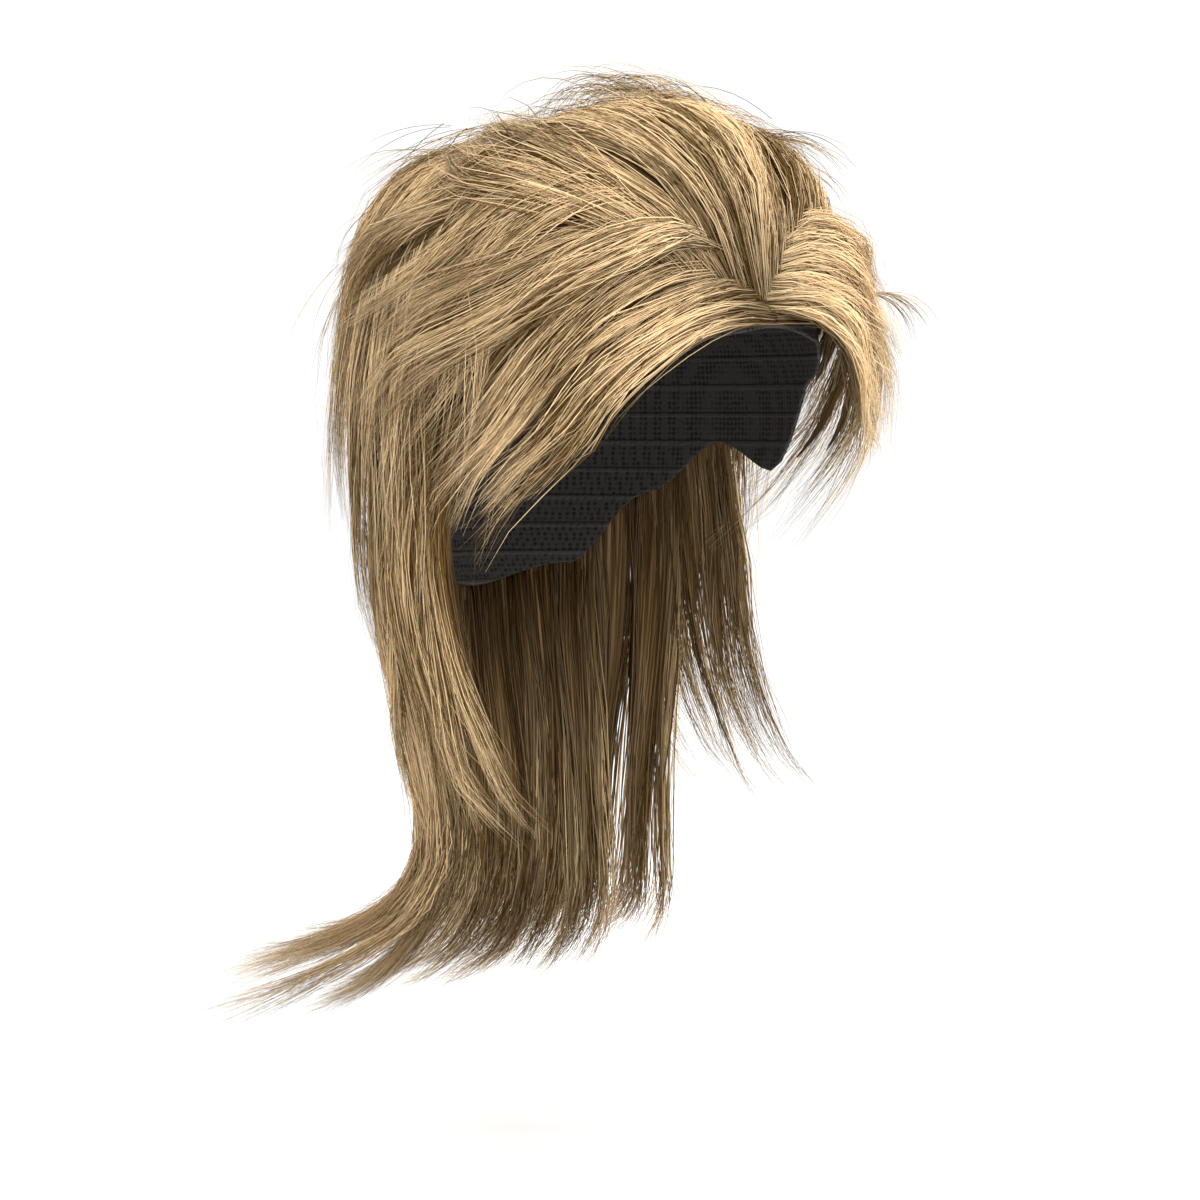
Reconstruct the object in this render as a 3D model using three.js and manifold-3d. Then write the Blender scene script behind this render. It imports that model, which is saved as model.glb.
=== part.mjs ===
// A mullet wig as it is worn: a black stretch cap shaped like the upper head, and hair sewn to it in rows of
// overlapping locks, feathered and lifted at the front, long at the back and flicked out at the ends.
// Millimetres, +Z up. The wearer faces -Y. The origin is the point inside the cap that rests on the crown.
import * as THREE from "three";
import Module from "manifold-3d";

const wasm = await Module();
wasm.setup();

// The head that the cap fits
const headHalfWidth = 77;
const headHalfLength = 99;
const crownToBrow = 95; // down to the widest level
const domeRoundness = 2.3; // 2 is an ellipsoid, and more is boxier
const napeTaper = 0.34; // how fast the head narrows below the brow

// The cap's wall, and how far its rim lies below the crown
const capWall = 1.6;
const hairlineDrop = 58;
const templeDrop = 78;
const earTabDrop = 116;
const earNotchDrop = 104;
const napeDrop = 166;

// The hair
const frontLoft = 36; // how far the front and the top stand off the head
const backLoft = 24; // how far the back stands off it
const hairLength = 356; // from the crown down to the flicked ends
const lockThickness = 11;
const unevenness = 0.22; // how much the locks of a row differ in length and height
const rootSink = 2; // how far a row's root reaches into the cap before it is cut to seat on it
const gap = 0.4; // between neighbouring pieces

// A row's thickness along its length
const rootFullness = 0.6; // at the root, as a share of its full thickness
const fullAt = 1 / 3; // where it is full, as a share of its length
const tipTaper = 5; // how late it thins towards the tips

// The outline across a row's locks
const crestSpread = 0.45; // how far a lock's rounded top reaches towards its edges
const valleyDepth = 0.2; // height of the valleys between locks, as a share of their crests
const webAtParting = 0.1; // the same where the locks part

// Facets
const capLevels = 8;
const capColumns = 36;
const stations = { long: 10, layered: 8, combed: 7 }; // along a lock

const capColour = 0x131211;
const hairColour = 0xb49669;

const { degToRad, radToDeg, lerp, smoothstep } = THREE.MathUtils;

// The rim of the cap on one side, from the front centre to the nape
const capRim = [
  { turn: 0, drop: hairlineDrop },
  { turn: 30, drop: lerp(hairlineDrop, templeDrop, 0.25) },
  { turn: 55, drop: templeDrop },
  { turn: 75, drop: earTabDrop },
  { turn: 95, drop: earNotchDrop },
  { turn: 115, drop: lerp(earNotchDrop, napeDrop, 0.35) },
  { turn: 140, drop: lerp(earNotchDrop, napeDrop, 0.85) },
  { turn: 180, drop: napeDrop },
];

// How the hair falls below the brow. Each drop is a share of hairLength, and each reach a share of how far the
// hair stands from the head's axis at the brow.
const backFall = [
  { drop: 0.28, reach: 1.0 },
  { drop: 0.38, reach: 0.99 },
  { drop: 0.48, reach: 0.95 },
  { drop: 0.6, reach: 0.84 },
  { drop: 0.69, reach: 0.75 },
  { drop: 0.78, reach: 0.71 },
  { drop: 0.84, reach: 0.8 },
  { drop: 0.875, reach: 0.95 },
  { drop: 0.91, reach: 1.16 },
  { drop: 0.95, reach: 1.41 },
  { drop: 0.985, reach: 1.62 },
];
const napeFall = [
  { drop: 0.45, reach: 0.94 },
  { drop: 0.6, reach: 0.82 },
  { drop: 0.72, reach: 0.74 },
  { drop: 0.82, reach: 0.75 },
  { drop: 0.9, reach: 0.9 },
  { drop: 0.96, reach: 1.15 },
  { drop: 1.0, reach: 1.5 },
];
const sideFall = [
  { drop: 0.28, reach: 0.95 },
  { drop: 0.4, reach: 0.93 },
  { drop: 0.5, reach: 0.9 },
  { drop: 0.6, reach: 0.86 },
  { drop: 0.68, reach: 0.85 },
  { drop: 0.75, reach: 0.9 },
];

// Rows of locks that fall from the cap round the back, from the left ear to the right, where a turn of 180 is
// the centre of the back. Divides is where the locks part, as a share of their length, swing is how late they
// turn from rootTurn to tipTurn, reach is how much of the fall line they follow, and inset is how deep the row
// lies under the hair's surface at the root and at the tips, in shares of lockThickness.
const fallingRows = [
  {
    node: "nape_hair", locks: 7, thickness: 0.8, cut: "long", divides: 0.7, line: napeFall, swing: 1,
    rootRise: -28, rootTurn: [132, 228], tipTurn: [128, 232], reach: [1, 1], inset: [2.6, 1.4],
  },
  {
    node: "back_hair", locks: 10, thickness: 1.0, cut: "long", divides: 0.7, line: backFall, swing: 2,
    rootRise: 0, rootTurn: [108, 252], tipTurn: [118, 242], reach: [1, 1], inset: [1.7, 0.5],
  },
  {
    node: "ear_hair_right", locks: 5, thickness: 0.8, cut: "layered", divides: 0.6, line: sideFall, swing: 4,
    rootRise: 0, rootTurn: [268, 240], tipTurn: [310, 256], reach: [1, 1], inset: [1.2, 0.1],
  },
  {
    node: "ear_hair_left", locks: 5, thickness: 0.8, cut: "layered", divides: 0.6, line: sideFall, swing: 4,
    rootRise: 0, rootTurn: [92, 120], tipTurn: [48, 102], reach: [0.95, 1], inset: [1.2, 0.1],
  },
  {
    node: "shoulder_hair", locks: 9, thickness: 0.8, cut: "layered", divides: 0.6, line: backFall, swing: 1,
    rootRise: 34, rootTurn: [94, 266], tipTurn: [98, 262], reach: [0.52, 0.52], inset: [0.8, 0.3],
  },
  {
    node: "crown_hair", locks: 9, thickness: 1.0, cut: "layered", divides: 0.6, line: backFall, swing: 1,
    rootRise: 77, rootTurn: [78, 282], tipTurn: [90, 270], reach: [0.46, 0.46], inset: [0, -0.3],
  },
];

// How a row that is rooted above the brow passes over the head. Each rise is a share of its root's rise, and
// side and back are how far it stands off the head there, in shares of its distance at the brow.
const crownSwell = [
  { rise: 0.86, side: 0.7, back: 1.05 },
  { rise: 0.72, side: 0.9, back: 1.35 },
  { rise: 0.54, side: 0.92, back: 1.52 },
  { rise: 0.36, side: 0.94, back: 1.25 },
  { rise: 0.16, side: 0.96, back: 0.96 },
];

// Rows of locks that are combed over the head, from the first lock to the last. Each station is turn, in
// degrees from the front towards the left ear, rise, in degrees up from the brow's level, and lift, as a
// share of frontLoft.
const combedRows = [
  {
    node: "fringe_right", locks: 6, thickness: 0.8, cut: "combed", divides: 0.6,
    root: [[-2, 22, 0], [-26, 58, 0]], mid: [[-54, 2, 0.4], [-74, 36, 0.5]],
    tip: [[-92, -46, 0.4], [-118, -6, 0.5]],
  },
  {
    node: "fringe_left", locks: 6, thickness: 0.8, cut: "combed", divides: 0.6,
    root: [[4, 22, 0], [26, 58, 0]], mid: [[52, 4, 0.5], [72, 36, 0.55]],
    tip: [[92, -44, 0.4], [118, -6, 0.5]],
  },
  {
    node: "bangs_left", locks: 4, thickness: 0.8, cut: "combed", divides: 0.5,
    root: [[0, 24, 0], [8, 42, 0]], mid: [[20, 10, 0.5], [34, 32, 0.65]],
    tip: [[34, -16, 0.5], [62, 8, 0.9]],
  },
  {
    node: "side_right", locks: 6, thickness: 0.9, cut: "combed", divides: 0.65,
    root: [[-8, 38, 0], [-36, 68, 0]], mid: [[-62, 22, 0.8], [-94, 46, 0.85]],
    tip: [[-110, -12, 0.65], [-138, 14, 0.74]],
  },
  {
    node: "side_left", locks: 6, thickness: 0.9, cut: "combed", divides: 0.65,
    root: [[10, 40, 0], [36, 68, 0]], mid: [[62, 26, 0.82], [94, 46, 0.85]],
    tip: [[110, -12, 0.65], [138, 14, 0.74]],
  },
  {
    node: "top_hair", locks: 8, thickness: 1.0, cut: "combed", divides: 0.6,
    root: [[-24, 28, 0], [24, 28, 0]], mid: [[-74, 48, 0.88], [74, 48, 0.88]],
    tip: [[-136, 58, 0.54], [136, 58, 0.54]],
  },
];

// The point off the head in a direction from its centre, which lies at the brow's level
function overHead(direction, offset) {
  const flat = Math.max(Math.hypot(direction.x, direction.y), 1e-6);
  const up = direction.z;
  const level = up > 0 ? flat ** (2 / domeRoundness) : 1 - napeTaper * up * up;
  const height = up > 0 ? (crownToBrow + offset) * up ** (2 / domeRoundness) : crownToBrow * up;
  return new THREE.Vector3(
    ((headHalfWidth + offset) * level * direction.x) / flat,
    ((headHalfLength + offset) * level * direction.y) / flat,
    height - crownToBrow,
  );
}

function towards(turn, rise) {
  const [around, up] = [degToRad(turn), degToRad(rise)];
  return new THREE.Vector3(Math.cos(up) * Math.sin(around), -Math.cos(up) * Math.cos(around), Math.sin(up));
}

// The rise of the level that lies so far below the crown
function riseAt(drop) {
  const up = (crownToBrow - drop) / crownToBrow;
  return radToDeg(Math.asin(up > 0 ? up ** (domeRoundness / 2) : Math.max(up, -0.98)));
}

// A closed solid from points and triangles that all face the same way, in or out
function solid(points, triangles) {
  const volume = triangles.reduce(
    (sum, [a, b, c]) => sum + points[a].dot(new THREE.Vector3().crossVectors(points[b], points[c])), 0);
  const outward = volume > 0 ? triangles : triangles.map(([a, b, c]) => [a, c, b]);
  return new wasm.Manifold(new wasm.Mesh({
    numProp: 3,
    vertProperties: new Float32Array(points.flatMap((point) => point.toArray())),
    triVerts: new Uint32Array(outward.flat()),
  }));
}

// The triangles between two closed loops of point numbers, leaving out those that shrink to a line
function between(here, next) {
  const made = [];
  here.forEach((a, i) => {
    const j = (i + 1) % here.length;
    made.push([a, here[j], next[j]], [a, next[j], next[i]]);
  });
  return made.filter(([a, b, c]) => a !== b && b !== c && c !== a);
}

// A dome over the head from its top down to a rim, whose drop is given for each turn, as rings of points
function domeRings(offset, dropAt) {
  const rings = [];
  for (let level = 1; level <= capLevels; level++) {
    const ring = [];
    for (let i = 0; i < capColumns; i++) {
      const turn = (360 * i) / capColumns - 180;
      ring.push(overHead(towards(turn, lerp(90, riseAt(dropAt(turn)), level / capLevels)), offset));
    }
    rings.push(ring);
  }
  return rings;
}

// A solid between two poles, skinned over the rings that lie between them
function spun(firstPole, rings, lastPole) {
  const points = [firstPole, ...rings.flat(), lastPole];
  const loopOf = (r) => rings[r].map((_, i) => 1 + r * capColumns + i);
  const triangles = between(loopOf(0).fill(0), loopOf(0));
  for (let r = 0; r + 1 < rings.length; r++) triangles.push(...between(loopOf(r), loopOf(r + 1)));
  const last = loopOf(rings.length - 1);
  triangles.push(...between(last, last.map(() => points.length - 1)));
  return solid(points, triangles);
}

function rimDrop(turn) {
  const at = Math.abs(turn);
  const next = Math.max(1, capRim.findIndex((knot) => knot.turn >= at));
  const [before, after] = [capRim[next - 1], capRim[next]];
  return lerp(before.drop, after.drop, smoothstep(at, before.turn, after.turn));
}

function capSolid() {
  const top = towards(0, 90);
  const rings = [...domeRings(capWall, rimDrop), ...domeRings(0, rimDrop).reverse()];
  return spun(overHead(top, capWall), rings, overHead(top, 0));
}

// The room that the hair leaves clear: the cap, filled, and the head down to the nape
function headRoom() {
  const filled = (dropAt) => {
    const rings = domeRings(capWall + gap, dropAt);
    const floor = new THREE.Vector3(0, 0, rings.at(-1)[0].z);
    return spun(overHead(towards(0, 90), capWall + gap), rings, floor);
  };
  return filled((turn) => rimDrop(turn) + gap).add(filled(() => napeDrop + gap));
}

// A value from -1 to 1 that differs from lock to lock
const uneven = (lock) => Math.sin(2.4 * lock + 1);

// The line that a row's hair follows at a share of the way from its first lock to its last, as a function of
// the share of its length
function combedLine(row, share) {
  const [root, mid, tip] = [row.root, row.mid, row.tip].map(([first, last]) => ({
    aim: towards(first[0], first[1]).lerp(towards(last[0], last[1]), share).normalize(),
    lift: lerp(first[2], last[2], share) * frontLoft,
  }));
  root.lift = capWall - rootSink;
  const liftAt = (t) => (t < 0.5
    ? lerp(root.lift, mid.lift, Math.sin(Math.PI * t))
    : lerp(mid.lift, tip.lift, smoothstep(t, 0.5, 1)));
  return (t) => {
    const [atRoot, atMid, atTip] = [(1 - t) * (1 - 2 * t), 4 * t * (1 - t), t * (2 * t - 1)];
    const aim = root.aim.clone().multiplyScalar(atRoot).addScaledVector(mid.aim, atMid)
      .addScaledVector(tip.aim, atTip).normalize();
    return overHead(aim, liftAt(t));
  };
}

function fallingLine(row, share) {
  const [rootTurn, tipTurn] = [lerp(...row.rootTurn, share), lerp(...row.tipTurn, share)];
  const knots = [overHead(towards(rootTurn, row.rootRise), capWall - rootSink)];
  const behind = smoothstep(Math.abs(rootTurn - 180), 0, 90);
  for (const { rise, side, back } of row.rootRise > 0 ? crownSwell : []) {
    const depth = lerp(back, side, behind) * (backLoft - row.inset[0] * lockThickness);
    knots.push(overHead(towards(rootTurn, rise * row.rootRise), depth));
  }
  const [first, last] = [row.line[0].drop, row.line.at(-1).drop];
  for (const { drop, reach } of row.line) {
    if (drop * hairLength < lockThickness - knots[0].z) continue;
    const done = (drop - first) / (last - first);
    const around = towards(lerp(rootTurn, tipTurn, done ** row.swing), 0);
    const depth = backLoft - lerp(...row.inset, done) * lockThickness;
    knots.push(new THREE.Vector3(
      (headHalfWidth + depth) * reach * around.x,
      (headHalfLength + depth) * reach * around.y,
      -drop * hairLength,
    ));
  }
  const curve = new THREE.CatmullRomCurve3(knots, false, "centripetal");
  return (t) => curve.getPointAt(Math.min(Math.max(t, 0), 1) * lerp(...row.reach, share));
}

// The share of its full thickness that a row has along its length
const fullness = (t) => Math.min(1, lerp(rootFullness, 1, t / fullAt)) * (1 - t ** tipTaper);

// The sheet that a row lies on, as lines along the edges and the middles of its locks, and a function that
// gives the directions along, across and out of it at a share of the way along a line
function sheetOf(row) {
  const lineOf = row.line ? fallingLine : combedLine;
  const ends = 2 * row.locks;
  const lines = Array.from({ length: ends + 1 }, (_, k) => {
    const shift = k > 0 && k < ends ? unevenness * uneven(k) : 0;
    return lineOf(row, (k + shift) / ends);
  });
  const [step, nearRoot] = [0.01, 0.1];
  let facing = 1;
  const directions = (k, t) => {
    const along = lines[k](Math.min(t + step, 1)).sub(lines[k](Math.max(t - step, 0))).normalize();
    const across = lines[Math.min(k + 1, ends)](t).sub(lines[Math.max(k - 1, 0)](t)).normalize();
    const out = new THREE.Vector3().crossVectors(across, along).normalize().multiplyScalar(facing);
    return { along, across, out };
  };
  const { out } = directions(row.locks, nearRoot);
  facing = out.dot(lines[row.locks](nearRoot).setZ(0)) + out.z > 0 ? 1 : -1;
  return { lines, directions };
}

// Collects the points of a row's solid, grown on all sides by a margin
class RowPoints {
  constructor(row, margin) {
    Object.assign(this, { row, margin, points: [] }, sheetOf(row));
  }

  // Adds a point beside line k, some way toward the line on one side of it, and off the sheet by a height
  put(k, t, { toward = 0, height, side }) {
    const { along, across, out } = this.directions(k, t);
    this.points.push(this.lines[k](t).lerp(this.lines[toward > 0 ? k + side : k](t), toward)
      .addScaledVector(out, height)
      .addScaledVector(across, side * 2 * this.margin)
      .addScaledVector(along, t === 0 ? -2 * this.margin : 0));
    return this.points.length - 1;
  }

  height(t) {
    return (this.row.thickness * lockThickness * fullness(t)) / 2;
  }

  // The two edges of a lock's rounded top
  crest(lock, t, width, stray) {
    const height = stray + this.height(t) * (1 + unevenness * uneven(lock + 3)) + this.margin;
    return [-1, 1].map((side) => this.put(2 * lock + 1, t, { toward: crestSpread * width, height, side }));
  }

  // A loop round the whole sheet, over the crests and back underneath
  sheetLoop(t, valley) {
    const height = valley * this.height(t) + this.margin;
    const [tops, unders] = [[], []];
    for (let v = 0; v <= this.row.locks; v++) {
      const side = v === 0 ? -1 : v === this.row.locks ? 1 : 0;
      tops.push(this.put(2 * v, t, { height, side }));
      unders.unshift(this.put(2 * v, t, { height: -height, side }));
      if (v < this.row.locks) tops.push(...this.crest(v, t, 1, 0));
    }
    return [...tops, ...unders];
  }

  // The triangles of one lock from the loop where it parts from the others to its tip
  lockEnd(lock, parting, steps) {
    const triangles = [];
    const { divides } = this.row;
    const length = (1 - divides) * (1 - (unevenness * (1 + uneven(lock))) / 2);
    const reached = (i) => divides + (length * i) / steps;
    const stray = (i) => 2 * unevenness * lockThickness * uneven(lock + 5) * (i / steps) ** 2;
    let here = parting;
    for (let i = 1; i < steps; i++) {
      const [t, width] = [reached(i), 1 - (i / steps) ** 2];
      const height = stray(i) - this.margin;
      const [left, right] = [-1, 1].map((side) => this.put(2 * lock + 1, t, { toward: width, height, side }));
      const next = [left, ...this.crest(lock, t, width, stray(i)), right, right, left];
      triangles.push(...between(here, next));
      here = next;
    }
    const tip = this.put(2 * lock + 1, reached(steps), { height: stray(steps), side: 0 });
    const { along } = this.directions(2 * lock + 1, reached(steps));
    this.points[tip].addScaledVector(along, 3 * this.margin);
    triangles.push(...between(here, here.map(() => tip)));
    return triangles;
  }
}

// One row of hair: a sheet with a crest for each lock, which divides on the way into separate tapered locks
function rowSolid(row, margin) {
  const made = new RowPoints(row, margin);
  const steps = stations[row.cut] - 1;
  const parting = Math.round(row.divides * steps);
  const loops = Array.from({ length: parting + 1 }, (_, i) =>
    made.sheetLoop((row.divides * i) / parting, i < parting ? valleyDepth : webAtParting));
  const sectionOf = (loop, lock) =>
    [...loop.slice(3 * lock, 3 * lock + 4), loop.at(-2 - lock), loop.at(-1 - lock)];
  const triangles = [];
  for (let i = 0; i < parting; i++) triangles.push(...between(loops[i], loops[i + 1]));
  for (let lock = 0; lock < row.locks; lock++) {
    const root = sectionOf(loops[0], lock);
    for (let i = 1; i + 1 < root.length; i++) triangles.push([root[0], root[i + 1], root[i]]);
    triangles.push(...made.lockEnd(lock, sectionOf(loops[parting], lock), steps - parting));
  }
  return solid(made.points, triangles);
}

function meshOf(name, made, colour, roughness) {
  const { numProp, numVert, vertProperties, triVerts } = made.getMesh();
  const points = [];
  for (let v = 0; v < numVert; v++) points.push(new THREE.Vector3().fromArray(vertProperties, v * numProp));
  const geometry = new THREE.BufferGeometry().setFromPoints(points).setIndex([...triVerts]);
  geometry.computeVertexNormals();
  const material = new THREE.MeshStandardMaterial({ color: colour, roughness, metalness: 0 });
  const mesh = new THREE.Mesh(geometry, material);
  mesh.name = name;
  return mesh;
}

const largest = (made) => made.decompose().sort((a, b) => b.volume() - a.volume())[0];

const wig = new THREE.Group();
wig.name = "mullet_wig";
wig.add(meshOf("wig_cap", capSolid(), capColour, 0.85));

// Rows are laid from the head outwards, and each is cut to clear the head and the rows under it
let taken = headRoom();
for (const row of [...fallingRows, ...combedRows]) {
  wig.add(meshOf(row.node, largest(rowSolid(row, 0).subtract(taken)), hairColour, 0.45));
  taken = taken.add(rowSolid(row, gap));
}

export default wig;
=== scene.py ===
"""The looks of a mullet wig: hair strands laid along the rows of locks, on a black net cap."""

import math

import bpy
import numpy as np
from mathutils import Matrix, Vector


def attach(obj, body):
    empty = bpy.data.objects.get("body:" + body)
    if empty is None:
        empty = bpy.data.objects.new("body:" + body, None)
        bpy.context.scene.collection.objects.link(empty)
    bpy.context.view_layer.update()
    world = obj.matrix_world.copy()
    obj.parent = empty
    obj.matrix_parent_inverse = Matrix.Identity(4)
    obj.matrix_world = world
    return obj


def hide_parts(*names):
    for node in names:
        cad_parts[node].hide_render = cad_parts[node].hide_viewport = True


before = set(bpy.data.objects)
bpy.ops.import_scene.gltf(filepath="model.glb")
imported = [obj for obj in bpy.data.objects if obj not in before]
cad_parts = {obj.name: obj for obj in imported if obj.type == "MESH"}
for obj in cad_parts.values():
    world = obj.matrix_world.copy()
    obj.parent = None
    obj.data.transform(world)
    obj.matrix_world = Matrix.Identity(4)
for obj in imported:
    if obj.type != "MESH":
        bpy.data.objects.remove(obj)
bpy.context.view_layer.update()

bl_info = {
    "name": "Mullet Wig",
    "version": (1, 0, 0),
    "blender": (4, 5, 0),
    "location": "View3D > Sidebar > Wig",
    "description": "Dresses a mullet wig with strands of hair, a net cap and a plain stage",
    "category": "Add Mesh",
}

# The cap's and the hair's sizes, in millimetres as the part's source gives them
HEAD_HALF_WIDTH = 77
HEAD_HALF_LENGTH = 99
CROWN_TO_BROW = 95
DOME_ROUNDNESS = 2.3
NAPE_TAPER = 0.34
CAP_WALL = 1.6
HAIRLINE_DROP = 58
TEMPLE_DROP = 78
EAR_TAB_DROP = 116
EAR_NOTCH_DROP = 104
NAPE_DROP = 166
FRONT_LOFT = 36
BACK_LOFT = 24
HAIR_LENGTH = 356
LOCK_THICKNESS = 11
UNEVENNESS = 0.22
CREST_SPREAD = 0.45
MM = 0.001

# How the hair falls below the brow: shares of the hair's length, and of the distance out at the brow
BACK_FALL = ((0.28, 1.0), (0.38, 0.99), (0.48, 0.95), (0.6, 0.84), (0.69, 0.75), (0.78, 0.71),
             (0.84, 0.8), (0.875, 0.95), (0.91, 1.16), (0.95, 1.41), (0.985, 1.62))
NAPE_FALL = ((0.45, 0.94), (0.6, 0.82), (0.72, 0.74), (0.82, 0.75), (0.9, 0.9), (0.96, 1.15), (1.0, 1.5))
SIDE_FALL = ((0.28, 0.95), (0.4, 0.93), (0.5, 0.9), (0.6, 0.86), (0.68, 0.85), (0.75, 0.9))

# How a row rooted above the brow passes over the head: shares of its root's rise, and how far it stands off
# the head at the side and at the back, in shares of its distance at the brow
CROWN_SWELL = ((0.86, 0.7, 1.05), (0.72, 0.9, 1.35), (0.54, 0.92, 1.52), (0.36, 0.94, 1.25),
               (0.16, 0.96, 0.96))

# What a row's strands need besides its shape: how many there are, how many stations each has, the first place
# along the row where one starts, how far past it the others may start, the share that lies on the inner
# side, how far they wave in millimetres, how unevenly long they are as a share of their length, how far a
# flyaway stands off, how far the tips fan out and how far they all flick out, these three in millimetres, and
# how light the row is painted for the light and shade that fall on it, where 0.5 is a middling tone. A flick
# under 0 turns inwards.
STRAND_COLUMNS = ("strands", "stations", "start", "rooted", "inner", "wave", "ragged", "stray", "fan",
                  "flick", "light")

# Rows that fall from the cap round the back. The columns up to inset are the part's own.
FALLING_COLUMNS = ("node", "locks", "thickness", "line", "root_rise", "swing", "divides", "root_turn",
                   "tip_turn", "reach", "inset") + STRAND_COLUMNS
FALLING_ROWS = (
    ("nape_hair", 7, 0.8, NAPE_FALL, -28, 1, 0.7, (132, 228), (128, 232), (1, 1), (2.6, 1.4),
     1500, 10, -0.03, 0.12, 0.4, 3.0, 0.18, 3, 9, 6, 0.4),
    ("back_hair", 10, 1.0, BACK_FALL, 0, 2, 0.7, (108, 252), (118, 242), (1, 1), (1.7, 0.5),
     2300, 11, -0.03, 0.12, 0.15, 5.0, 0.13, 3, 12, 12, 0.8),
    ("ear_hair_right", 5, 0.8, SIDE_FALL, 0, 4, 0.6, (268, 240), (310, 256), (1, 1), (1.2, 0.1),
     720, 9, -0.12, 0.12, 0.2, 4.0, 0.3, 4, 5, 2, 0.2),
    ("ear_hair_left", 5, 0.8, SIDE_FALL, 0, 4, 0.6, (92, 120), (48, 102), (0.95, 1), (1.2, 0.1),
     460, 9, -0.12, 0.12, 0.3, 4.0, 0.3, 4, 5, 2, 0.2),
    ("shoulder_hair", 9, 0.8, BACK_FALL, 34, 1, 0.6, (94, 266), (98, 262), (0.52, 0.52), (0.8, 0.3),
     900, 8, -0.03, 0.12, 0.1, 4.0, 0.45, 3, 1, -3, 0.5),
    ("crown_hair", 9, 1.0, BACK_FALL, 77, 1, 0.6, (78, 282), (90, 270), (0.46, 0.46), (0, -0.3),
     2350, 9, -0.12, 0.1, 0.1, 4.0, 0.45, 3, 2, -5, 1.4),
)

# Rows that are combed over the head, each station a turn, a rise and a lift
COMBED_COLUMNS = ("node", "locks", "thickness", "divides", "root", "mid", "tip") + STRAND_COLUMNS
COMBED_ROWS = (
    ("fringe_right", 6, 0.8, 0.6, ((-2, 22, 0), (-26, 58, 0)), ((-54, 2, 0.4), (-74, 36, 0.5)),
     ((-92, -46, 0.4), (-118, -6, 0.5)), 1500, 9, -0.03, 0.3, 0.2, 3.5, 0.35, 5, 3, 0, 0.8),
    ("fringe_left", 6, 0.8, 0.6, ((4, 22, 0), (26, 58, 0)), ((52, 4, 0.5), (72, 36, 0.55)),
     ((92, -44, 0.4), (118, -6, 0.5)), 850, 8, -0.03, 0.3, 0.3, 3.5, 0.35, 5, 3, 0, 0.7),
    ("bangs_left", 4, 0.8, 0.5, ((0, 24, 0), (8, 42, 0)), ((20, 10, 0.5), (34, 32, 0.65)),
     ((34, -16, 0.5), (62, 8, 0.9)), 1100, 8, -0.03, 0.3, 0.3, 5.0, 0.35, 7, 6, 0, 1.5),
    ("side_right", 6, 0.9, 0.65, ((-8, 38, 0), (-36, 68, 0)), ((-62, 22, 0.8), (-94, 46, 0.85)),
     ((-110, -12, 0.65), (-138, 14, 0.74)), 2300, 9, -0.03, 0.35, 0.1, 8.0, 0.4, 6, 4, 0, 0.5),
    ("side_left", 6, 0.9, 0.65, ((10, 40, 0), (36, 68, 0)), ((62, 26, 0.82), (94, 46, 0.85)),
     ((110, -12, 0.65), (138, 14, 0.74)), 1250, 9, -0.03, 0.35, 0.1, 8.0, 0.4, 6, 4, 0, 0.8),
    ("top_hair", 8, 1.0, 0.6, ((-24, 28, 0), (24, 28, 0)), ((-74, 48, 0.88), (74, 48, 0.88)),
     ((-136, 58, 0.54), (136, 58, 0.54)), 2950, 9, -0.03, 0.35, 0.1, 7.0, 0.3, 9, 5, 0, 0.9),
)

# Wisps that stand off the hair: the piece they belong to, the turn, distance out and height in millimetres
# that they start at, how many strands they have, how long and how wide they are in millimetres, the turn that
# they head for, the pitch that they start at, and the angle that they curl through and how late
WISP_COLUMNS = ("node", "turn", "out", "height", "strands", "length", "width", "heading", "pitch", "curl",
                "late")
WISPS = (
    ("top_hair", 43, 24, 33, 96, 54, 12, -134, 46, -165, 1.25),
    ("top_hair", 180, 22, 25, 110, 62, 54, 180, -6, -36, 1.0),
    ("top_hair", -150, 30, 23, 60, 56, 30, -150, -6, -36, 1.0),
    ("top_hair", 50, 44, 29, 60, 44, 16, -132, 40, -80, 1.2),
    ("top_hair", 100, 15, 22, 36, 44, 14, -120, 8, -40, 1.0),
    ("top_hair", 32, 58, 19, 44, 40, 18, 50, 14, -85, 1.0),
    ("top_hair", 62, 70, 13, 30, 36, 14, 55, -8, -70, 1.2),
    ("top_hair", -151, 54, 14, 36, 44, 16, -130, 8, -75, 1.3),
    ("crown_hair", -153, 78, -2, 34, 44, 14, -132, -14, -75, 1.2),
    ("crown_hair", -150, 98, -30, 30, 46, 14, -135, -46, -45, 1.0),
    ("bangs_left", 41, 110, -43, 26, 28, 12, 60, 0, -90, 1.0),
)

# A row's surface
GRID_STEPS = 60  # along it
LOCK_STEPS = 8  # across each lock
CURVE_STEPS = 16  # from knot to knot of a falling line

# The masses under the strands
BODY_STATIONS = 18  # along a lock's body
BODY_ACROSS = np.array([-1.0, -0.6, -0.2, 0.2, 0.6, 1.0, 0.5, -0.5])
BODY_UP = np.array([0.0, 1, 1, 1, 1, 0.0, -0.25, -0.25])
BODY_HEIGHT = 0.4  # as a share of the lock's height
BODY_ENDS = (0.86, 1.2)  # where the masses of falling and of combed rows end, in shares of where locks divide
BODY_UNEVENNESS = 0.06
BODY_CLEARANCE = 0.4  # millimetres off the cap

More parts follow.
